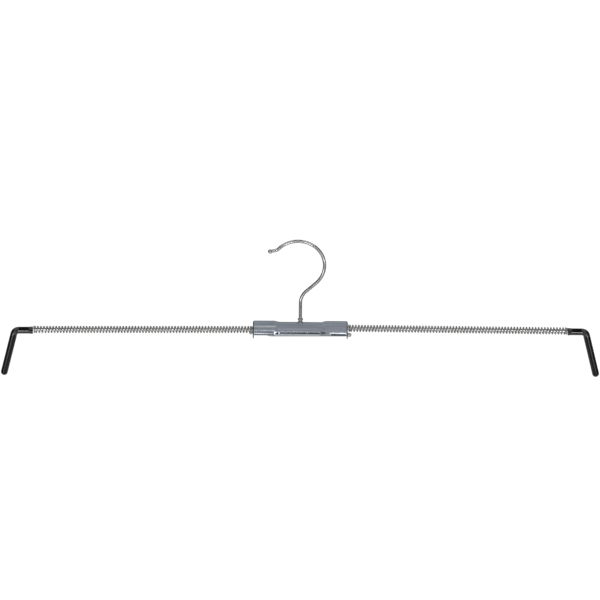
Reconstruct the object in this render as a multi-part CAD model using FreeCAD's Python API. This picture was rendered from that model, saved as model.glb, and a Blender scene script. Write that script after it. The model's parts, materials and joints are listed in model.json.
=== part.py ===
import FreeCAD
import Part
import math
import os

from FreeCAD import Vector

# Trouser hanger with two spring arms, in millimetres.
# X runs along the arms, -Y is the front, +Z is up.
# The origin is the rail seat: the point inside the hook straight above the shaft.

# Pressed case: radii are over the outside, and the skirts hang down from the centre of the arch
SHEET = 0.8
CASE_LENGTH = 76.0
SHOULDER_RADIUS = 5.5
SHOULDER_LENGTH = 17.0
WAIST_RADIUS = 4.6
SLOPE_LENGTH = 4.5
SLOPE_STEPS = 5
SKIRT_DEPTH = 4.2
SHOULDER_STRAIGHT = 1.6
WAIST_STRAIGHT = 0.2
LIP_FLARE = 0.5
END_INSIDE_RADIUS = 0.6
TONGUE_MARGIN = 1.65
TONGUE_CORNER_RADIUS = 1.6
COLLAR_WALL = 0.5
COLLAR_RISE = 0.6
COLLAR_EDGE_RADIUS = 0.2

# Hook
HOOK_WIRE = 2.7
HOOK_RADIUS = 21.2
HOOK_CENTRE_RISE = 54.9
HOOK_CENTRE_LEFT = 2.15
HOOK_LEAN_DEG = 47.0
HOOK_BEND_RADIUS = 14.0
TIP_LEAN_DEG = 47.0
TIP_SLOPE_DEG = 12.0
TIP_BEND_RADIUS = 5.0
TIP_STRAIGHT = 2.3
NECK_LENGTH = 0.5
NECK_DEPTH = 0.3
BALL_SWELL = 0.45
SHAFT_CLEARANCE = 0.3
EAR_REACH = 0.95
EAR_HEIGHT = 2.4
EAR_THICKNESS = 1.9
EAR_GAP = 1.6
HEAD_OVERLAP = 0.6
HEAD_THICKNESS = 1.3
HEAD_EDGE_RADIUS = 0.4
HEAD_SEAT_GAP = 0.1

# Arm rods, each in its own upright plane so that the two pass side by side
ROD_WIRE = 2.6
ROD_GAP = 1.0
ROD_CLEARANCE = 0.15
ROD_BELOW_ARCH = 1.1
JOGGLE_DROP = 4.7
JOGGLE_SLOPE_DEG = 35.0
JOGGLE_STRAIGHT = 1.93
JOGGLE_INSET = 1.5
STOP_OVERLAP = 0.25
STOP_LENGTH = 2.9
STOP_FLAT_RADIUS = 0.37
STOP_SEAT_GAP = 0.05
ARM_REACH = 228.6
ARM_DROOP_DEG = 0.39
LEG_LENGTH = 38.4
LEG_SPLAY_DEG = 13.5
SEAT_EAR_REACH = 0.75
SEAT_EAR_LENGTH = 2.2
SEAT_EAR_THICKNESS = 2.0

# Dipped sleeves on the arms' ends
SLEEVE_WALL = 1.45
SLEEVE_RUN = 14.4
SLEEVE_SAG = 0.6
SLEEVE_BEND_INSIDE = 1.3
SLEEVE_CLEARANCE = 0.02
MOUTH_SWELL = 0.35
MOUTH_LENGTH = 3.2
MOUTH_EDGE_RADIUS = 0.5

# Compression springs on the arms
SPRING_WIRE = 0.8
SPRING_TURNS = 50
SPRING_CLEARANCE = 0.5
SPRING_END_GAP = 0.05
SPRING_END_TURN_DEG = 45.0
SPRING_END_RISE = 1.6
SPRING_WIRE_SIDES = 6
SPRING_GAP_SAMPLES = 24

# How near an edge's centre lies to a plane when it is picked by that plane
PICK = 0.001

# Sizes and planes that several pieces share
HALF_CASE = CASE_LENGTH / 2
HOOK_INSIDE = HOOK_RADIUS - HOOK_WIRE / 2
ARCH_Z = -(HOOK_CENTRE_RISE + math.sqrt(HOOK_INSIDE**2 - HOOK_CENTRE_LEFT**2))
SHAFT_HOLE_RADIUS = HOOK_WIRE / 2 + SHAFT_CLEARANCE
ROD_RADIUS = ROD_WIRE / 2
ROD_HOLE_RADIUS = ROD_RADIUS + ROD_CLEARANCE
UPPER_Z = ARCH_Z - ROD_BELOW_ARCH
LOWER_Z = UPPER_Z - JOGGLE_DROP
TAIL_HOLE_Z = LOWER_Z + (CASE_LENGTH - SHEET) * math.tan(math.radians(ARM_DROOP_DEG))
LEFT_PLANE_Y = -(ROD_WIRE + ROD_GAP) / 2
SLEEVE_RADIUS = ROD_RADIUS + SLEEVE_WALL
ARM_BEND_RADIUS = SLEEVE_RADIUS + SLEEVE_BEND_INSIDE
MOUTH_X = -(ARM_REACH - SLEEVE_RUN)
UP = Vector(0, 0, 1)
LEFTWARDS = Vector(-1, 0, 0)
RIGHTWARDS = Vector(1, 0, 0)


def line(a, b):
    return Part.LineSegment(a, b).toShape()


def arc_along(start, heading, end):
    """Arc that leaves start along the unit heading and ends at end."""
    chord = end - start
    spread = math.acos(max(-1.0, min(1.0, heading.dot(chord) / chord.Length)))
    corner = start + heading * (chord.Length / 2 / math.cos(spread))
    weight = math.cos(spread)
    middle = (start + chord * 0.5 + corner * weight) * (1 / (1 + weight))
    return Part.Arc(start, middle, end).toShape()


def rounded_path(points, radii):
    """Straight runs through the points, with a tangent arc of each radius at the inner ones."""
    edges = []
    here = points[0]
    for before, corner, after, radius in zip(points, points[1:], points[2:], radii):
        heading = (corner - before).normalize()
        leaving = (after - corner).normalize()
        setback = radius * math.tan(heading.getAngle(leaving) / 2)
        start = corner - heading * setback
        end = corner + leaving * setback
        edges += [line(here, start), arc_along(start, heading, end)]
        here = end
    return Part.Wire(edges + [line(here, points[-1])])


def round_bar(path, radius):
    """Round bar along a path of lines and arcs."""
    first = path.Edges[0]
    start = first.valueAt(first.FirstParameter)
    section = Part.Wire(Part.makeCircle(radius, start, first.tangentAt(first.FirstParameter)))
    return path.makePipeShell([section], True, False)


def pinched_ears(centre, axis, wire_radius, reach, length, thickness):
    """Wings that a press squeezes out of a round wire, wide in one plane and thin across it."""
    half = length / 2
    wide = wire_radius + reach
    lens = Part.makeCone(wire_radius, wide, half, centre - axis * half, axis)
    lens = lens.fuse(Part.makeCone(wide, wire_radius, half, centre, axis))
    cover = 2 * wide + length
    slab = Part.makeBox(cover, thickness, cover, centre - Vector(cover, thickness, cover) * 0.5)
    return lens.common(slab).removeSplitter()


def smooth_step(share):
    return share * share * (3 - 2 * share)


def case_section(x, waisting, inset):
    """Closed outline of the arch, skirts and lips, waisted from 0 to 1, and moved in by inset."""
    outside = SHOULDER_RADIUS + (WAIST_RADIUS - SHOULDER_RADIUS) * waisting
    straight = SHOULDER_STRAIGHT + (WAIST_STRAIGHT - SHOULDER_STRAIGHT) * waisting
    arch = outside - inset
    lip_top = -straight
    lip_height = SKIRT_DEPTH - straight
    lip_reach = SHOULDER_RADIUS + LIP_FLARE - outside
    bend = (lip_height**2 + lip_reach**2) / (2 * lip_reach) + inset
    flare = bend - math.sqrt(bend**2 - lip_height**2)

    def at(y, z):
        return Vector(x, y, ARCH_Z + z)

    corner = arch * math.sqrt(0.5)
    front = arc_along(at(-arch, lip_top), -UP, at(-arch - flare, -SKIRT_DEPTH))
    back = arc_along(at(arch, lip_top), -UP, at(arch + flare, -SKIRT_DEPTH))
    return Part.Wire(
        Part.__sortEdges__(
            [
                front,
                line(at(-arch, lip_top), at(-arch, 0)),
                Part.Arc(at(-arch, 0), at(-corner, corner), at(0, arch)).toShape(),
                Part.Arc(at(0, arch), at(corner, corner), at(arch, 0)).toShape(),
                line(at(arch, 0), at(arch, lip_top)),
                back,
                line(at(arch + flare, -SKIRT_DEPTH), at(-arch - flare, -SKIRT_DEPTH)),
            ]
        )
    )


def case_block(inset):
    """Solid inside the case's skin at that inset, with rounded corners at both ends."""
    slope_start = HALF_CASE - SHOULDER_LENGTH
    stations = [(HALF_CASE - inset, 0)]
    for step in range(SLOPE_STEPS + 1):
        share = step / SLOPE_STEPS
        stations.append((slope_start - SLOPE_LENGTH * share, smooth_step(share)))
    stations += [(-x, waisting) for x, waisting in reversed(stations)]
    block = Part.makeLoft([case_section(x, waisting, inset) for x, waisting in stations], True, True)
    end_x = HALF_CASE - inset
    rim = [
        edge
        for edge in block.Edges
        if abs(abs(edge.CenterOfMass.x) - end_x) < PICK
        and edge.CenterOfMass.z > ARCH_Z - SKIRT_DEPTH + PICK
    ]
    return block.makeFillet(END_INSIDE_RADIUS + SHEET - inset, rim)


def wall_start(side):
    """Lower X of the end wall on that side."""
    return min(side * HALF_CASE, side * (HALF_CASE - SHEET))


def make_tongue(side):
    """Foot of an end wall, which hangs below the skirts as far as the lower rod hole needs."""
    width = 2 * (SHOULDER_RADIUS - SHEET - END_INSIDE_RADIUS)
    foot_z = TAIL_HOLE_Z - ROD_HOLE_RADIUS - TONGUE_MARGIN
    tongue = Part.makeBox(SHEET, width, ARCH_Z - foot_z, Vector(wall_start(side), -width / 2, foot_z))
    corners = [
        edge
        for edge in tongue.Edges
        if abs(edge.CenterOfMass.z - foot_z) < PICK and abs(abs(edge.CenterOfMass.y) - width / 2) < PICK
    ]
    return tongue.makeFillet(TONGUE_CORNER_RADIUS, corners)


def make_collar():
    """Rim drawn up round the shaft hole, with its upper edge rounded."""
    top_z = ARCH_Z + WAIST_RADIUS + COLLAR_RISE
    collar = Part.makeCylinder(SHAFT_HOLE_RADIUS + COLLAR_WALL, top_z - ARCH_Z, Vector(0, 0, ARCH_Z))
    rim = [edge for edge in collar.Edges if edge.isClosed() and abs(edge.CenterOfMass.z - top_z) < PICK]
    return collar.makeFillet(COLLAR_EDGE_RADIUS, rim)


def make_case():
    """Pressed case: arched sheet, waisted in the middle, with end walls that guide the rods."""
    skin = case_block(0).fuse(make_collar()).cut(case_block(SHEET))
    skin = skin.fuse([make_tongue(-1), make_tongue(1)]).removeSplitter()
    holes = []
    for side in (-1, 1):
        start_x = wall_start(side) - SHEET
        for y, z in ((-side * LEFT_PLANE_Y, UPPER_Z), (side * LEFT_PLANE_Y, TAIL_HOLE_Z)):
            holes.append(Part.makeCylinder(ROD_HOLE_RADIUS, 3 * SHEET, Vector(start_x, y, z), RIGHTWARDS))
    crown_inside = Vector(0, 0, ARCH_Z + WAIST_RADIUS - 2 * SHEET)
    holes.append(Part.makeCylinder(SHAFT_HOLE_RADIUS, 3 * SHEET + COLLAR_RISE, crown_inside))
    return skin.cut(holes)


def make_hook():
    """Wire hook: headed shaft, reverse bend, round crook and a ball on a necked tip."""
    lean = math.radians(HOOK_LEAN_DEG)
    tip_lean = math.radians(TIP_LEAN_DEG)
    tip_slope = math.radians(TIP_SLOPE_DEG)
    wire = HOOK_WIRE / 2
    centre = Vector(-HOOK_CENTRE_LEFT, 0, ARCH_Z + HOOK_CENTRE_RISE)

    def on_crook(degrees):
        turn = math.radians(degrees)
        return centre + Vector(math.cos(turn), 0, math.sin(turn)) * HOOK_RADIUS

    crook_start = on_crook(-HOOK_LEAN_DEG)
    crook_end = on_crook(90 + TIP_LEAN_DEG)
    slope = Vector(math.sin(lean), 0, math.cos(lean))
    bend_corner = crook_start - slope * (crook_start.x / slope.x)
    setback = HOOK_BEND_RADIUS * math.tan(lean / 2)
    bend_start = bend_corner - UP * setback
    bend_end = bend_corner + slope * setback
    crook_heading = Vector(-math.cos(tip_lean), 0, -math.sin(tip_lean))
    tip_heading = Vector(-math.cos(tip_slope), 0, -math.sin(tip_slope))
    tip_turn = Vector(math.sin(tip_slope) - math.sin(tip_lean), 0, math.cos(tip_lean) - math.cos(tip_slope))
    tip_start = crook_end + tip_turn * TIP_BEND_RADIUS
    neck_start = tip_start + tip_heading * TIP_STRAIGHT

    head_radius = SHAFT_HOLE_RADIUS + HEAD_OVERLAP
    crown_underside = math.sqrt((WAIST_RADIUS - SHEET) ** 2 - head_radius**2)
    head_top = ARCH_Z + crown_underside - HEAD_SEAT_GAP
    foot = Vector(0, 0, head_top - HEAD_THICKNESS)
    path = Part.Wire(
        [
            line(foot, bend_start),
            arc_along(bend_start, UP, bend_end),
            line(bend_end, crook_start),
            Part.Arc(crook_start, on_crook(0), on_crook(90)).toShape(),
            Part.Arc(on_crook(90), on_crook(90 + TIP_LEAN_DEG / 2), crook_end).toShape(),
            arc_along(crook_end, crook_heading, tip_start),
            line(tip_start, neck_start),
        ]
    )
    neck = Part.makeCone(wire, wire - NECK_DEPTH, NECK_LENGTH, neck_start, tip_heading)
    neck_end = neck_start + tip_heading * NECK_LENGTH
    ball_radius = wire + BALL_SWELL
    ball_depth = math.sqrt(ball_radius**2 - (wire - NECK_DEPTH) ** 2)
    ball = Part.makeSphere(ball_radius, neck_end + tip_heading * ball_depth)
    head = Part.makeCylinder(head_radius, HEAD_THICKNESS, foot)
    head = head.makeFillet(HEAD_EDGE_RADIUS, [edge for edge in head.Edges if len(edge.Vertexes) == 1])
    ears_centre = Vector(0, 0, ARCH_Z + WAIST_RADIUS + EAR_GAP + EAR_HEIGHT / 2)
    ears = pinched_ears(ears_centre, UP, wire, EAR_REACH, EAR_HEIGHT, EAR_THICKNESS)
    return round_bar(path, wire).fuse([neck, ball, head, ears]).removeSplitter()


def leg_points():
    """Corner and far end of the left arm's turned-down leg."""
    splay = math.radians(LEG_SPLAY_DEG)
    corner = Vector(-ARM_REACH, LEFT_PLANE_Y, UPPER_Z)
    return corner, corner + Vector(-math.sin(splay), 0, -math.cos(splay)) * LEG_LENGTH


def seat_ears(grown):
    """Ears pinched out of the rod inside the sleeve's mouth, where the spring pushes, grown all round."""
    centre = Vector(MOUTH_X - SEAT_EAR_LENGTH / 2, LEFT_PLANE_Y, UPPER_Z)
    thickness = SEAT_EAR_THICKNESS + 2 * grown
    return pinched_ears(centre, LEFTWARDS, ROD_RADIUS + grown, SEAT_EAR_REACH, SEAT_EAR_LENGTH, thickness)


def make_left_rod():
    """Arm rod: turned-down leg, long run, step down inside the case, tail and stop beyond the far wall."""
    corner, leg_end = leg_points()
    slope = math.radians(JOGGLE_SLOPE_DEG)
    joggle_bend = (JOGGLE_DROP - JOGGLE_STRAIGHT * math.sin(slope)) / (2 - 2 * math.cos(slope))
    setback = joggle_bend * math.tan(slope / 2)
    step_x = -(HALF_CASE - SHEET) + JOGGLE_INSET + setback
    step_top = Vector(step_x, LEFT_PLANE_Y, UPPER_Z)
    step_foot = Vector(step_x + JOGGLE_DROP / math.tan(slope), LEFT_PLANE_Y, LOWER_Z)
    stop_foot = Vector(HALF_CASE + STOP_SEAT_GAP, LEFT_PLANE_Y, LOWER_Z)
    tail = stop_foot + RIGHTWARDS * (STOP_LENGTH / 2)
    bends = [ARM_BEND_RADIUS, joggle_bend, joggle_bend]
    rod = round_bar(rounded_path([leg_end, corner, step_top, step_foot, tail], bends), ROD_RADIUS)
    stop_radius = ROD_HOLE_RADIUS + STOP_OVERLAP
    stop = Part.makeCylinder(stop_radius, STOP_LENGTH, stop_foot, RIGHTWARDS)
    far_rim = [edge for edge in stop.Edges if abs(edge.CenterOfMass.x - stop_foot.x - STOP_LENGTH) < PICK]
    stop = stop.makeFillet(stop_radius - STOP_FLAT_RADIUS, far_rim)
    return rod.fuse([stop, seat_ears(0)]).removeSplitter()


def make_left_sleeve():
    """Sleeve dipped over the arm's end, thicker under its run, with a mouth swollen over the rod's ears."""
    corner, leg_end = leg_points()
    mouth = Vector(MOUTH_X, LEFT_PLANE_Y, UPPER_Z)
    low_mouth = mouth - UP * SLEEVE_SAG
    low_corner = corner + (leg_end - corner) * (SLEEVE_SAG / (corner.z - leg_end.z))
    path = rounded_path([low_mouth, low_corner, leg_end], [ARM_BEND_RADIUS])
    body = round_bar(path, SLEEVE_RADIUS).fuse(Part.makeSphere(SLEEVE_RADIUS, leg_end))
    lip = Part.makeCone(SLEEVE_RADIUS + MOUTH_SWELL, SLEEVE_RADIUS, MOUTH_LENGTH, low_mouth, LEFTWARDS)
    rim = [edge for edge in lip.Edges if abs(edge.CenterOfMass.x - MOUTH_X) < PICK and edge.isClosed()]
    body = body.fuse(lip.makeFillet(MOUTH_EDGE_RADIUS, rim)).removeSplitter()
    bore_end = leg_end + (leg_end - corner).normalize() * SLEEVE_CLEARANCE
    bore_path = rounded_path([mouth, corner, bore_end], [ARM_BEND_RADIUS])
    bore = round_bar(bore_path, ROD_RADIUS + SLEEVE_CLEARANCE)
    return body.cut([bore, seat_ears(SLEEVE_CLEARANCE)])


def spring_path():
    """Centreline of the left spring: straight ends, a turn out of each, and a helix of arcs between."""
    radius = ROD_RADIUS + SPRING_CLEARANCE + SPRING_WIRE / 2
    inner_x = -(HALF_CASE + SPRING_END_GAP)
    outer_x = MOUTH_X + SPRING_END_GAP
    straight = SPRING_WIRE
    end_length = straight + SPRING_END_RISE
    advance = (outer_x + end_length - inner_x + end_length) / SPRING_TURNS

    def on_coil(x, turns):
        turn = 2 * math.pi * turns
        return Vector(x, LEFT_PLANE_Y + radius * math.sin(turn), UPPER_Z + radius * math.cos(turn))

    def along_coil(turns):
        turn = 2 * math.pi * turns
        ahead = Vector(advance / (2 * math.pi), radius * math.cos(turn), -radius * math.sin(turn))
        return ahead.normalize()

    end_turn = SPRING_END_TURN_DEG / 360
    stops = [(on_coil(inner_x, -end_turn), LEFTWARDS)]
    stops.append((on_coil(inner_x - straight, -end_turn), LEFTWARDS))
    for half_turn in range(2 * SPRING_TURNS + 1):
        turns = half_turn / 2
        stops.append((on_coil(inner_x - end_length + advance * turns, turns), along_coil(turns)))
    stops.append((on_coil(outer_x + straight, SPRING_TURNS + end_turn), LEFTWARDS))
    stops.append((on_coil(outer_x, SPRING_TURNS + end_turn), LEFTWARDS))

    edges = [line(stops[0][0], stops[1][0])]
    for (start, heading), (end, arriving) in zip(stops[1:-2], stops[2:-1]):
        edges += biarc(start, heading, end, arriving)
    edges.append(line(stops[-2][0], stops[-1][0]))
    return Part.Wire(edges)


def biarc(start, heading, end, arriving):
    """Two arcs that leave start along heading and reach end along arriving, tangent where they meet."""
    chord = end - start
    both = heading + arriving
    square = both.dot(both) - 4
    reach = chord.dot(both)
    length = (reach - math.sqrt(reach**2 - square * chord.dot(chord))) / square
    meeting = (start + heading * length + end - arriving * length) * 0.5
    middle_heading = (end - arriving * length - start - heading * length).normalize()
    return [arc_along(start, heading, meeting), arc_along(meeting, middle_heading, end)]


def least_gap(path):
    """Least gap between the surfaces of neighbouring turns, on points along the path."""
    points = path.discretize(Number=SPRING_TURNS * SPRING_GAP_SAMPLES)
    nearest = min(
        (points[i] - points[j]).Length
        for i in range(len(points))
        for j in range(i + SPRING_GAP_SAMPLES // 2, min(len(points), i + 2 * SPRING_GAP_SAMPLES))
    )
    return nearest - SPRING_WIRE


def make_left_spring():
    """Compression spring between the case's end wall and the sleeve's mouth."""
    path = spring_path()
    first = path.Edges[0]
    start = first.valueAt(first.FirstParameter)
    corners = []
    for side in range(SPRING_WIRE_SIDES + 1):
        turn = 2 * math.pi * side / SPRING_WIRE_SIDES
        corners.append(start + Vector(0, math.cos(turn), math.sin(turn)) * (SPRING_WIRE / 2))
    spring = path.makePipeShell([Part.makePolygon(corners)], True, False)
    print("spring: least gap to itself", round(least_gap(path), 2), "mm")
    print("spring: wire length", round(path.Length), "mm")
    return spring


def drooping(shape):
    """A piece of the left arm, let down about the upper hole by the slack that it has in its two holes."""
    copy = shape.copy()
    upper_hole = Vector(-(HALF_CASE - SHEET / 2), LEFT_PLANE_Y, UPPER_Z)
    copy.rotate(upper_hole, Vector(0, 1, 0), -ARM_DROOP_DEG)
    return copy


def to_the_right(shape):
    """The same piece on the right: the hanger is alike from front and back, so it is turned half round."""
    copy = shape.copy()
    copy.rotate(Vector(0, 0, 0), UP, 180)
    return copy


pieces = {"hook": make_hook(), "case": make_case()}
for name, make in (("rod", make_left_rod), ("spring", make_left_spring), ("tip_sleeve", make_left_sleeve)):
    piece = drooping(make())
    pieces["left_" + name] = piece
    pieces["right_" + name] = to_the_right(piece)

os.makedirs("parts", exist_ok=True)
for name, shape in pieces.items():
    print(name, "solids", len(shape.Solids), "valid", shape.isValid(), "volume", round(shape.Volume, 1))
    shape.exportStep("parts/" + name + ".step")
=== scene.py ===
import json
import math

import bpy
from mathutils import Matrix, Vector


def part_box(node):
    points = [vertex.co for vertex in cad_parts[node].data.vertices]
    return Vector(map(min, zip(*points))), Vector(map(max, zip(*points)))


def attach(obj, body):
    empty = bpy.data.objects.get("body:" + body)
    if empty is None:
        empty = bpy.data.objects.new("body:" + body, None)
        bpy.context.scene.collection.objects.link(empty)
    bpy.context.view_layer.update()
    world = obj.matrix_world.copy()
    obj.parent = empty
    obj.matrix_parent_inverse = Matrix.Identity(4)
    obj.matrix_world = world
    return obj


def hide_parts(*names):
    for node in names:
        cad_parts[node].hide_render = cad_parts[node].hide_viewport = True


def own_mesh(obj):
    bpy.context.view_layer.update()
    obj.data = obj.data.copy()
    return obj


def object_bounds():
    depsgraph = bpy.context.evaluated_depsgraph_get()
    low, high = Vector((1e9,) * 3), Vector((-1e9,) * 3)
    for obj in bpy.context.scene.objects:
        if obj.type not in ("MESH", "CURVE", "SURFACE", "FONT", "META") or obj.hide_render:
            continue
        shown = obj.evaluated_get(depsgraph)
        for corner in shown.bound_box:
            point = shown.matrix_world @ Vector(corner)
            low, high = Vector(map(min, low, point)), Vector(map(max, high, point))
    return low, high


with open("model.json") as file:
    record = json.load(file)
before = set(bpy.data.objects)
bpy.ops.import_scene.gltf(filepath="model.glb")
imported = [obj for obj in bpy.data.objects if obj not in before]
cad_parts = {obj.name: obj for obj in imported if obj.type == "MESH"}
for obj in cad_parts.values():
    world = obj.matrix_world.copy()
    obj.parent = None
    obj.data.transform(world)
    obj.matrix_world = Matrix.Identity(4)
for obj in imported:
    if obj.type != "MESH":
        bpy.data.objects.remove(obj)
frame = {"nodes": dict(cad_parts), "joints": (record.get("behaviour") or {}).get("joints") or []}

cad_low, cad_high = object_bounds()


# The case is one strip of thin steel, pressed into an arched channel with a waist and flared lower lips.
# It is rolled sheet with a clear bluish zinc plate, so faint streaks run along it. Its end walls are folded
# down and pierced to guide the arms, and the hook's shaft turns in a hole in its crown.

MM = 0.001


class Field:
    """A value in a node tree: sums and products of fields add the Math nodes that work them out."""

    def __init__(self, nodes, socket):
        self.nodes = nodes
        self.socket = socket

    def __add__(self, other):
        return self.nodes.maths("ADD", self, other)

    def __radd__(self, other):
        return self.nodes.maths("ADD", other, self)

    def __sub__(self, other):
        return self.nodes.maths("SUBTRACT", self, other)

    def __rsub__(self, other):
        return self.nodes.maths("SUBTRACT", other, self)

    def __mul__(self, other):
        return self.nodes.maths("MULTIPLY", self, other)

    def __rmul__(self, other):
        return self.nodes.maths("MULTIPLY", other, self)

    def __truediv__(self, other):
        return self.nodes.maths("DIVIDE", self, other)

    def __abs__(self):
        return self.nodes.maths("ABSOLUTE", self)

    def at_least(self, other):
        return self.nodes.maths("MAXIMUM", self, other)

    def at_most(self, other):
        return self.nodes.maths("MINIMUM", self, other)

    def ramp(self, start, length):
        """0 up to the start, then rising to 1 over the length."""
        return ((self - start) / length).at_least(0.0).at_most(1.0)


class Nodes:
    """A node tree, filled one node at a time."""

    def __init__(self, tree):
        self.tree = tree

    def feed(self, node, inputs):
        for key, value in inputs.items():
            if isinstance(value, Field):
                self.tree.links.new(value.socket, node.inputs[key])
            else:
                node.inputs[key].default_value = value

    def add(self, kind, settings, inputs, output=0):
        node = self.tree.nodes.new(kind)
        for key, value in settings.items():
            setattr(node, key, value)
        self.feed(node, inputs)
        return Field(self, node.outputs[output])

    def maths(self, operation, first, second=0.0):
        return self.add("ShaderNodeMath", {"operation": operation}, {0: first, 1: second})


class Finish(Nodes):
    """A surface finish: a new material whose nodes work in the part's own coordinates."""

    def __init__(self, name):
        self.material = bpy.data.materials.new(name)
        self.material.use_nodes = True
        super().__init__(self.material.node_tree)
        self.surface = self.tree.nodes["Principled BSDF"]
        self.place = self.add("ShaderNodeTexCoord", {}, {}, "Object")

    def grain(self, per_metre, detail, roughness=0.5):
        """Noise from 0 to 1 with that many grains in a metre along X, Y and Z."""
        spread = self.add("ShaderNodeMapping", {}, {"Vector": self.place, "Scale": per_metre})
        settings = {"Vector": spread, "Scale": 1.0, "Detail": detail, "Roughness": roughness}
        return self.add("ShaderNodeTexNoise", {}, settings)

    def mix(self, share, first, second):
        """The first colour where the share is 0, and the second where it is 1."""
        share_in, first_in, second_in, colour_out = 0, 6, 7, 2
        inputs = {share_in: share, first_in: first, second_in: second}
        return self.add("ShaderNodeMix", {"data_type": "RGBA"}, inputs, colour_out)

    def along(self, axis):
        """How far a point lies along X, Y or Z in the part's frame."""
        return self.add("ShaderNodeSeparateXYZ", {}, {"Vector": self.place}, axis)

    def bump(self, height, depth, strength, under=None):
        """Relief of that depth, on top of the relief under it if there is one."""
        inputs = {"Height": height, "Distance": depth, "Strength": strength}
        if under:
            inputs["Normal"] = under
        return self.add("ShaderNodeBump", {}, inputs)


joints = {joint["name"]: joint for joint in frame["joints"]}
ARCH_Z = joints["hook_swivel"]["pos_m"][2]

SHEET_DARK = (0.13, 0.155, 0.195, 1)
SHEET_LIGHT = (0.43, 0.465, 0.515, 1)
CLOUD_VIOLET = (0.33, 0.31, 0.42, 1)
CLOUD_GREEN = (0.24, 0.34, 0.32, 1)
CLOUD_SHARE = 0.3
SATIN_METALLIC = 0.5
SATIN_ROUGHNESS = 0.42
STREAK_ROUGHNESS = 0.2

PRESSED = (0.76, 0.83, 0.92, 1)
PRESSED_ROUGHNESS = 0.04
LIP_START = 1.4 * MM
LIP_BLEND = 0.5 * MM
LIP_END = 36.6 * MM
LIP_END_BLEND = 0.4 * MM
SHOULDER_START = 19 * MM
SHOULDER_BLEND = 2 * MM
SHOULDER_DRAW = 1.4 * MM
BULGE_HEIGHT = 0.055 * MM
BULGE_DEPTH = 2.8 * MM
COLLAR_START = 4.7 * MM
COLLAR_REACH = 2.5 * MM
COLLAR_BLEND = 0.1 * MM

# A painted highlight: a light line along the left shoulder's skirt.
PAINTED_SHOULDER_HIGHLIGHT = (0.64, 0.70, 0.71, 1)
SHOULDER_HIGHLIGHT_HEIGHT = 3.0 * MM
SHOULDER_HIGHLIGHT_HALF = 0.55 * MM
SHOULDER_HIGHLIGHT_SHARE = 0.85
DULL_START = 15.5 * MM
DULL_END = 23.3 * MM
DULL_BLEND = 1.0 * MM
# A painted dark reflection: a dark spot on the lip at the waist's right end.
PAINTED_DARK_REFLECTION = (0.07, 0.08, 0.10, 1)
DARK_REFLECTION_END = 19.5 * MM
DARK_REFLECTION_TOP = 1.3 * MM
DARK_REFLECTION_FOOT = 2.7 * MM
DARK_REFLECTION_BLEND = 0.4 * MM
# Painted shade: a dark line on the folds at the case's ends, standing in for the dark the bends reflect.
PAINTED_FOLD_SHADE = (0.06, 0.065, 0.075, 1)
FOLD_SHADE_START = 37.0 * MM
FOLD_SHADE_BLEND = 0.4 * MM


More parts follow.
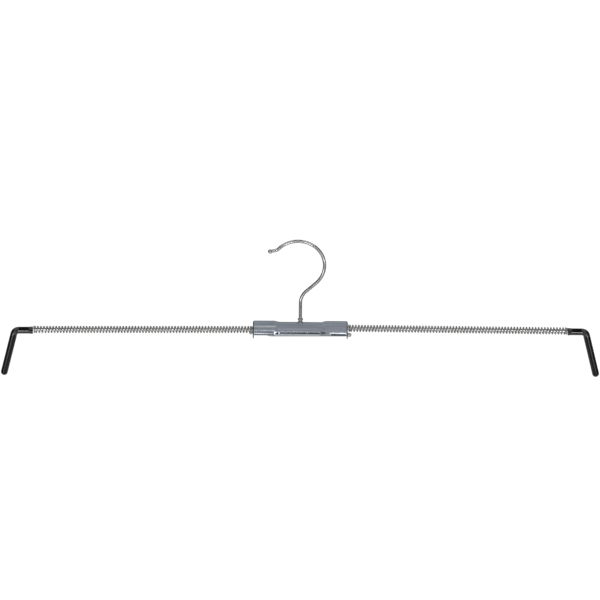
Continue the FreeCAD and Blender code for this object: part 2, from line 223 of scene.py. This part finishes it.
def case_finish():
    """Satin sheet, mirror-bright on the lips, the left shoulder's skirt and the shaft's collar, with a
    painted highlight line, a painted dark reflection and painted shade on the end folds.
    """
    finish = Finish("case_sheet")
    x = finish.along("X")
    out = abs(x)
    depth = ARCH_Z - finish.along("Z")
    left = (0.0 - x).ramp(SHOULDER_START, SHOULDER_BLEND)

    streaks = finish.grain(per_metre=(22, 900, 900), detail=6.0, roughness=0.65)
    clouds = finish.grain(per_metre=(38, 160, 160), detail=2.0)
    sheet = finish.mix(streaks.ramp(start=0.3, length=0.4), SHEET_DARK, SHEET_LIGHT)
    tint = finish.mix(clouds.ramp(start=0.35, length=0.3), CLOUD_VIOLET, CLOUD_GREEN)
    rolled = finish.mix(CLOUD_SHARE, sheet, tint)

    # The light line along the left shoulder is a painted highlight, and the dark spot in the dull patch at
    # the waist's right end is a painted dark reflection; both stand in for reflections.
    off_shoulder_highlight = abs(depth + SHOULDER_HIGHLIGHT_HEIGHT)
    shoulder_highlight = SHOULDER_HIGHLIGHT_SHARE * left * (1.0 - off_shoulder_highlight.ramp(0.0, SHOULDER_HIGHLIGHT_HALF))
    from_dull = x.ramp(DULL_START, DULL_BLEND)
    dull = from_dull * (1.0 - x.ramp(DULL_END, DULL_BLEND))
    # Where the painted dark reflection lies, along the case and down the lip.
    dark_reflection_along = from_dull * (1.0 - x.ramp(DARK_REFLECTION_END, DULL_BLEND))
    dark_reflection_down = depth.ramp(DARK_REFLECTION_TOP, DARK_REFLECTION_BLEND) * (1.0 - depth.ramp(DARK_REFLECTION_FOOT, DARK_REFLECTION_BLEND))
    with_painted_light = finish.mix(dark_reflection_along * dark_reflection_down, finish.mix(shoulder_highlight, rolled, PAINTED_SHOULDER_HIGHLIGHT), PAINTED_DARK_REFLECTION)
    # Painted shade darkens the sheet along the folds at the case's ends.
    satin = finish.mix(out.ramp(FOLD_SHADE_START, FOLD_SHADE_BLEND), with_painted_light, PAINTED_FOLD_SHADE)

    lip_down = (depth + SHOULDER_DRAW * left).ramp(LIP_START, LIP_BLEND)
    lip = lip_down * (1.0 - out.ramp(LIP_END, LIP_END_BLEND))
    collar = (0.0 - depth).ramp(COLLAR_START, COLLAR_BLEND) * (1.0 - out.ramp(COLLAR_REACH, COLLAR_BLEND))
    bright = (lip * (1.0 - dull)).at_least(collar)

    fine = finish.grain(per_metre=(160, 5200, 5200), detail=3.0)
    waves = finish.grain(per_metre=(120, 260, 260), detail=1.0)
    # Relief alone makes the left shoulder's skirt bulge a little, most halfway down.
    down = depth.ramp(0.0, BULGE_DEPTH)
    bulge = 4 * left * down * (1.0 - down)
    rolling = finish.bump(fine, depth=0.02 * MM, strength=0.25)
    wavy = finish.bump(waves, depth=0.05 * MM, strength=0.3, under=rolling)
    satin_roughness = SATIN_ROUGHNESS + STREAK_ROUGHNESS * streaks
    finish.feed(
        finish.surface,
        {
            "Base Color": finish.mix(bright, satin, PRESSED),
            "Metallic": SATIN_METALLIC + (1.0 - SATIN_METALLIC) * bright,
            "Roughness": PRESSED_ROUGHNESS + (1.0 - bright) * satin_roughness,
            "Normal": finish.bump(bulge, depth=BULGE_HEIGHT, strength=1.0, under=wavy),
        },
    )
    return finish.material


def dress(node, material):
    """Gives a solid of the frame its finish."""
    frame["nodes"][node].material_slots[0].material = material


dress("case", case_finish())


# The hook is drawn steel wire with a bright nickel plate, bent round a former to clear a wardrobe rail.
# Its tip is upset into a ball, ears are pinched out of it above the case, and a head holds it from inside.

WORN_ROUGHNESS = 0.05
HOOK_DARK = (0.55, 0.55, 0.55, 1)
HOOK_LIGHT = (0.64, 0.63, 0.62, 1)
HOOK_ROUGHNESS = 0.12


def wire_finish(name, dark, light, roughness):
    """Plated wire with faint worn patches and the fine relief of the drawing die."""
    finish = Finish(name)
    worn = finish.grain(per_metre=(70, 70, 70), detail=3.0)
    drawn = finish.grain(per_metre=(2600, 2600, 2600), detail=2.0)
    finish.feed(
        finish.surface,
        {
            "Base Color": finish.mix(worn, dark, light),
            "Metallic": 1.0,
            "Roughness": roughness + WORN_ROUGHNESS * worn,
            "Normal": finish.bump(drawn, depth=0.01 * MM, strength=0.015),
        },
    )
    return finish.material


dress("hook", wire_finish("hook_wire", HOOK_DARK, HOOK_LIGHT, HOOK_ROUGHNESS))


# The arms are straight drawn wires with a bright zinc plate, each with a leg turned down at its outer end.
# They slide side by side in the case's end walls, and step down inside it to clear each other.
# A stop formed at the inner end, beyond the far wall, keeps each from being pushed out.

ROD_DARK = (0.66, 0.66, 0.66, 1)
ROD_LIGHT = (0.86, 0.86, 0.84, 1)
ROD_ROUGHNESS = 0.12

rod_material = wire_finish("rod_wire", ROD_DARK, ROD_LIGHT, ROD_ROUGHNESS)
dress("left_rod", rod_material)
dress("right_rod", rod_material)


# Each arm is pushed out by a long compression spring of plated spring wire, wound on a mandrel.
# It sits loose on the rod between the case's end wall and the sleeve's mouth.
# Its last turns are closed.

SPRING_WIRE = 1.05 * MM
SPRING_COIL = 2.5 * MM
SPRING_TURNS = 73
CLOSED_TURNS = 1.25
CLOSED_STEP = 1.08
STEPS_PER_TURN = 24
WIRE_SIDES = 10
SPRING_DARK = (0.42, 0.42, 0.42, 1)
SPRING_LIGHT = (0.56, 0.56, 0.56, 1)
SPRING_ROUGHNESS = 0.16


def spring_tree(material):
    """Helix of round wire along an axis: a line of points, bent round by its index, then swept."""
    tree = bpy.data.node_groups.new("wound_spring", "GeometryNodeTree")
    kinds = {
        "Start": "NodeSocketVector",
        "Axis": "NodeSocketVector",
        "Across": "NodeSocketVector",
        "Up": "NodeSocketVector",
        "Length": "NodeSocketFloat",
        "Coil Radius": "NodeSocketFloat",
        "Wire": "NodeSocketFloat",
        "Turns": "NodeSocketInt",
        "Closed Turns": "NodeSocketFloat",
        "Closed Step": "NodeSocketFloat",
        "Steps": "NodeSocketInt",
        "Sides": "NodeSocketInt",
    }
    for name, kind in kinds.items():
        tree.interface.new_socket(name, in_out="INPUT", socket_type=kind)
    tree.interface.new_socket("Spring", in_out="OUTPUT", socket_type="NodeSocketGeometry")
    nodes = Nodes(tree)
    group = tree.nodes.new("NodeGroupInput")
    size = {name: Field(nodes, group.outputs[name]) for name in kinds}

    count = size["Turns"] * size["Steps"] + 1
    line = nodes.add("GeometryNodeMeshLine", {}, {"Count": count})
    turns = nodes.add("GeometryNodeInputIndex", {}, {}) / size["Steps"]
    closed = size["Closed Turns"]
    closed_pitch = size["Wire"] * size["Closed Step"]
    open_turns = size["Turns"] - 2 * closed
    open_length = size["Length"] - size["Wire"] - 2 * closed * closed_pitch
    first = turns.at_most(closed)
    last = (turns - closed - open_turns).at_least(0.0)
    open_run = open_length / open_turns * (turns - first - last)
    along = size["Wire"] / 2 + closed_pitch * (first + last) + open_run
    angle = 2 * math.pi * turns
    across = size["Coil Radius"] * nodes.maths("SINE", angle)
    up = size["Coil Radius"] * nodes.maths("COSINE", angle)
    placed = size["Start"]
    for direction, distance in (("Axis", along), ("Across", across), ("Up", up)):
        step = {0: size[direction], 1: distance, 2: placed}
        placed = nodes.add("ShaderNodeVectorMath", {"operation": "MULTIPLY_ADD"}, step)

    helix = nodes.add("GeometryNodeSetPosition", {}, {"Geometry": line, "Position": placed})
    curve = nodes.add("GeometryNodeMeshToCurve", {}, {"Mesh": helix})
    section = {"Resolution": size["Sides"], "Radius": size["Wire"] / 2}
    profile = nodes.add("GeometryNodeCurvePrimitiveCircle", {}, section)
    sweep = {"Curve": curve, "Profile Curve": profile, "Fill Caps": True}
    wire = nodes.add("GeometryNodeCurveToMesh", {}, sweep)
    smooth = nodes.add("GeometryNodeSetShadeSmooth", {}, {"Geometry": wire})
    plated = nodes.add("GeometryNodeSetMaterial", {}, {"Geometry": smooth, "Material": material})
    nodes.feed(tree.nodes.new("NodeGroupOutput"), {"Spring": plated})
    return tree


def grown(name, tree, sizes):
    """The tree's result with those sizes, as a plain mesh."""
    maker = bpy.data.objects.new(name + "_maker", bpy.data.meshes.new(name + "_maker"))
    bpy.context.scene.collection.objects.link(maker)
    modifier = maker.modifiers.new("maker", "NODES")
    modifier.node_group = tree
    for item in tree.interface.items_tree:
        if item.in_out == "INPUT":
            modifier[item.identifier] = sizes[item.name]
    evaluated = maker.evaluated_get(bpy.context.evaluated_depsgraph_get())
    mesh = bpy.data.meshes.new_from_object(evaluated)
    bpy.data.objects.remove(maker)
    mesh.name = name
    piece = bpy.data.objects.new(name, mesh)
    bpy.context.scene.collection.objects.link(piece)
    return piece


spring_material = wire_finish("spring_wire", SPRING_DARK, SPRING_LIGHT, SPRING_ROUGHNESS)
wound_spring = spring_tree(spring_material)
for side in ("left", "right"):
    slide = joints[side + "_arm_slide"]
    low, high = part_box(side + "_spring")
    axis = Vector(slide["axis"]).normalized()
    up = Vector((-axis.z * math.copysign(1, axis.x), 0, abs(axis.x)))
    leaning = 2 * (SPRING_COIL + SPRING_WIRE / 2) * abs(axis.z)
    length = (high.x - low.x - leaning) / abs(axis.x)
    mouth_end = (low + high) / 2 - axis * (length / 2)
    sizes = {
        "Start": mouth_end,
        "Axis": axis,
        "Across": up.cross(axis),
        "Up": up,
        "Length": length,
        "Coil Radius": SPRING_COIL,
        "Wire": SPRING_WIRE,
        "Turns": SPRING_TURNS,
        "Closed Turns": CLOSED_TURNS,
        "Closed Step": CLOSED_STEP,
        "Steps": STEPS_PER_TURN,
        "Sides": WIRE_SIDES,
    }
    spring = grown(side + "_coil", wound_spring, sizes)
    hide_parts(side + "_spring")
    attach(spring, "case")
    tuple(mouth_end + axis * length)
    (length - slide["range_m"][1]) / length
    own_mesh(spring)


# Each arm's outer end is dipped in black vinyl, from the leg's tip round the bend to the spring.
# It grips cloth. It has a wet gloss along the arm and is plainer on the leg.

DIP_DARK = (0.002, 0.002, 0.0025, 1)
DIP_LIGHT = (0.006, 0.006, 0.0065, 1)
DIP_ROUGHNESS = 0.05
SCUFF_ROUGHNESS = 0.08
RUN_DEPTH = 7.5 * MM
RUN_BLEND = 1.5 * MM


def sleeve_finish():
    """Black vinyl with faint scuffs, and a gloss coat on the run along the arm."""
    finish = Finish("tip_sleeve")
    run_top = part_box("left_tip_sleeve")[1].z
    scuffs = finish.grain(per_metre=(90, 90, 90), detail=5.0)
    skin = finish.grain(per_metre=(1500, 1500, 1500), detail=1.0)
    finish.feed(
        finish.surface,
        {
            "Base Color": finish.mix(scuffs, DIP_DARK, DIP_LIGHT),
            "Roughness": DIP_ROUGHNESS + SCUFF_ROUGHNESS * scuffs,
            "Coat Weight": finish.along("Z").ramp(run_top - RUN_DEPTH, RUN_BLEND),
            "Normal": finish.bump(skin, depth=0.02 * MM, strength=0.02),
        },
    )
    return finish.material


sleeve_material = sleeve_finish()
dress("left_tip_sleeve", sleeve_material)
dress("right_tip_sleeve", sleeve_material)


# The studio is a white floor far below the hanging part, two soft boxes, and a tent of cards that only
# mirror-like surfaces see: the bright wire takes its dark edges and its light lines from them.

WHITE = (1, 1, 1, 1)
FLOOR_Z = cad_low.z - 1.0
FLOOR_HALF = 30.0
FLOOR_PAPER = (0.4, 0.4, 0.4, 1)
FLOOR_GLOW = 0.72

case_low, case_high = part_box("case")
CASE_MIDDLE = (case_low + case_high) / 2


def plate(name, corners):
    """A flat face of the studio, which is no piece of the hanger."""
    mesh = bpy.data.meshes.new(name)
    mesh.from_pydata(corners, [], [tuple(range(len(corners)))])
    made = bpy.data.objects.new(name, mesh)
    bpy.context.scene.collection.objects.link(made)
    return made


def seen_directly(nodes):
    """1 for what the lens, a reflection or clear glass shows, and 0 for light that falls on surfaces."""
    rays = nodes.tree.nodes.new("ShaderNodeLightPath")
    seen = Field(nodes, rays.outputs["Is Camera Ray"])
    for name in ("Is Glossy Ray", "Is Transmission Ray"):
        seen = seen.at_least(Field(nodes, rays.outputs[name]))
    return seen


def floor_finish():
    """Matt paper with a glow, so that it shows white and lights the part only a little."""
    finish = Finish("floor_white")
    matt = {"Base Color": FLOOR_PAPER, "Roughness": 1.0, "Specular IOR Level": 0.0}
    finish.feed(finish.surface, matt)
    glow = seen_directly(finish) * FLOOR_GLOW
    shine = finish.add("ShaderNodeEmission", {}, {"Color": WHITE, "Strength": glow})
    paper = Field(finish, finish.surface.outputs[0])
    both = finish.add("ShaderNodeAddShader", {}, {0: paper, 1: shine})
    finish.feed(finish.tree.nodes["Material Output"], {"Surface": both})
    return finish.material


quarters = ((-1, -1), (1, -1), (1, 1), (-1, 1))
floor = plate("floor", [(x * FLOOR_HALF, y * FLOOR_HALF, FLOOR_Z) for x, y in quarters])
floor.data.materials.append(floor_finish())

CARD_LEVELS = {
    "near_floor_card": 0.27,
    "far_floor_card": 0.27,
    "side_floor_card": 0.27,
    "under_card": 0.5,
    "back_card": 0.07,
    "side_card": 0.08,
    "arm_sky_card": 0.5,
    "sleeve_sky_card": 0.03,
    "side_sky_card": 0.6,
    "lens_card": 0.06,
    "left_lip_card": 0.45,
    "left_lens_card": 0.06,
    "gap_card": 0.16,
    "left_shoulder_card": 0.5,
    "right_shoulder_card": 1.05,
    "foot_card": 0.15,
    "rod_card": 1.1,
    "low_card": 2.2,
    "sleeve_dark_card": 0.04,
    "sleeve_card": 9.0,
    "sleeve_foot_card": 0.03,
    "dark_card": 0.04,
    "wing_card": 0.5,
    "low_wing_card": 0.8,
    "leg_card": 3.0,
    "wing_foot_card": 0.03,
}

# The tent's walls, in metres from the rail seat.
TENT_FRONT = -2.4
TENT_BACK = 4.4
TENT_SIDE = 3.1
TENT_TOP = 2.4
TENT_FOOT = FLOOR_Z + 0.02
CEILING_FRONT = -1.1
UNDER_HALF = 1.2

# How far to each side the cards reach: from those that the case shows to those beside the arms.
GAP_REACH = 0.03
SHOULDER_REACH = 0.055
LENS_REACH = 0.12
ROD_REACH = 0.27
SLEEVE_REACH = 0.45
DARK_REACH = 1.1
WING_REACH = 2.4


def card(name, corners):
    """A card of an even brightness that only reflections show."""
    finish = Finish(name)
    even = finish.add("ShaderNodeEmission", {}, {"Color": WHITE, "Strength": CARD_LEVELS[name]})
    finish.feed(finish.tree.nodes["Material Output"], {"Surface": even})
    made = plate(name, corners)
    made.data.materials.append(finish.material)
    made.visible_camera = False
    made.visible_diffuse = False
    made.visible_transmission = False
    made.visible_shadow = False


def strip(name, from_x, to_x, first, second):
    """A card between two edges along X, each given by its Y and Z."""
    card(name, [(from_x, *first), (to_x, *first), (to_x, *second), (from_x, *second)])


def front(degrees):
    """Edge on the tent's front wall, at that angle above the case."""
    return TENT_FRONT, CASE_MIDDLE.z - TENT_FRONT * math.tan(math.radians(degrees))


front_foot = (TENT_FRONT, TENT_FOOT)
back_foot = (TENT_BACK, TENT_FOOT)
back_top = (TENT_BACK, TENT_TOP)
ceiling_edge = (CEILING_FRONT, TENT_TOP)
under_front = (-UNDER_HALF, TENT_FOOT)
under_back = (UNDER_HALF, TENT_FOOT)
sky_foot = front(31)
sleeve_top = front(3)
lens_foot = front(-5)
sleeve_foot = front(-9)
leg_top = front(-16)
low_foot = front(-20)
leg_foot = front(-22.5)
sky_panels = ((back_top, ceiling_edge), (ceiling_edge, sky_foot))

strip("near_floor_card", -TENT_SIDE, TENT_SIDE, front_foot, under_front)
strip("far_floor_card", -TENT_SIDE, TENT_SIDE, under_back, back_foot)
strip("under_card", -UNDER_HALF, UNDER_HALF, under_front, under_back)
strip("back_card", -TENT_SIDE, TENT_SIDE, back_foot, back_top)
strip("foot_card", -ROD_REACH, ROD_REACH, low_foot, front_foot)
strip("left_lens_card", -LENS_REACH, -SHOULDER_REACH, sky_foot, lens_foot)
strip("left_lip_card", -SHOULDER_REACH, -GAP_REACH, sky_foot, lens_foot)
strip("lens_card", -GAP_REACH, LENS_REACH, sky_foot, lens_foot)
strip("left_shoulder_card", -SHOULDER_REACH, -GAP_REACH, lens_foot, low_foot)
strip("gap_card", -GAP_REACH, GAP_REACH, lens_foot, low_foot)
strip("right_shoulder_card", GAP_REACH, SHOULDER_REACH, lens_foot, low_foot)
for first, second in sky_panels:
    strip("arm_sky_card", -ROD_REACH, ROD_REACH, first, second)
for side in (-1, 1):
    for first, second in sky_panels:
        strip("sleeve_sky_card", side * ROD_REACH, side * SLEEVE_REACH, first, second)
        strip("side_sky_card", side * SLEEVE_REACH, side * TENT_SIDE, first, second)
    strip("rod_card", side * LENS_REACH, side * ROD_REACH, sky_foot, lens_foot)
    strip("low_card", side * SHOULDER_REACH, side * ROD_REACH, lens_foot, low_foot)
    strip("sleeve_dark_card", side * ROD_REACH, side * SLEEVE_REACH, sky_foot, sleeve_top)
    strip("sleeve_card", side * ROD_REACH, side * SLEEVE_REACH, sleeve_top, sleeve_foot)
    strip("sleeve_foot_card", side * ROD_REACH, side * SLEEVE_REACH, sleeve_foot, front_foot)
    strip("dark_card", side * SLEEVE_REACH, side * DARK_REACH, sky_foot, lens_foot)
    strip("wing_card", side * DARK_REACH, side * WING_REACH, sky_foot, lens_foot)
    strip("low_wing_card", side * SLEEVE_REACH, side * WING_REACH, lens_foot, leg_top)
    strip("leg_card", side * SLEEVE_REACH, side * WING_REACH, leg_top, leg_foot)
    strip("wing_foot_card", side * SLEEVE_REACH, side * TENT_SIDE, leg_foot, front_foot)
    strip("side_floor_card", side * UNDER_HALF, side * TENT_SIDE, under_front, under_back)
    wall = (front_foot, back_foot, back_top, (TENT_FRONT, TENT_TOP))
    card("side_card", [(side * TENT_SIDE, y, z) for y, z in wall])


def soft_box(name, place, width, height, watts):
    """A lamp aimed at the case, for matt surfaces; the cards above are what bright ones show."""
    lamp = bpy.data.lights.new(name, "AREA")
    lamp.shape = "RECTANGLE"
    lamp.size = width
    lamp.size_y = height
    lamp.energy = watts
    made = bpy.data.objects.new(name, lamp)
    made.location = place
    made.rotation_euler = (CASE_MIDDLE - Vector(place)).to_track_quat("-Z", "Y").to_euler()
    made.visible_glossy = False
    bpy.context.scene.collection.objects.link(made)


soft_box("long_box", place=(0, -1.35, 0.95), width=1.6, height=0.22, watts=3.0)
soft_box("top_box", place=(0.3, 0.6, 1.25), width=0.9, height=0.5, watts=3.0)

WORLD_LIGHT = 0.8
WORLD_SHOWN = 1.0

world = bpy.data.worlds.new("studio_white")
world.use_nodes = True
bpy.context.scene.world = world
around = Nodes(world.node_tree)
strength = WORLD_LIGHT + (WORLD_SHOWN - WORLD_LIGHT) * seen_directly(around)
around.feed(world.node_tree.nodes["Background"], {"Color": WHITE, "Strength": strength})
bpy.context.scene.view_settings.view_transform = "Standard"


# The lens is long and looks down on the front of the hanger, turned a little about its own axis.
# The picture is almost as wide as the arms.

LENS_ELEVATION = math.radians(25)
LENS_ROLL = math.radians(0.37)
LENS_DISTANCE = 8.0
PICTURE_WIDTH = 0.48
PICTURE_SHIFT = -0.4 * MM
PICTURE_RISE = 24.45 * MM

camera = bpy.data.cameras.new("long_lens")
camera.lens = camera.sensor_width * LENS_DISTANCE / PICTURE_WIDTH
lens = bpy.data.objects.new("long_lens", camera)
bpy.context.scene.collection.objects.link(lens)
middle = Vector((PICTURE_SHIFT, 0, ARCH_Z + PICTURE_RISE))
away = Vector((0, -math.cos(LENS_ELEVATION), math.sin(LENS_ELEVATION)))
turn = away.to_track_quat("Z", "Y").to_matrix() @ Matrix.Rotation(LENS_ROLL, 3, "Z")
lens.matrix_world = Matrix.LocRotScale(middle + away * LENS_DISTANCE, turn, None)
bpy.context.scene.camera = lens
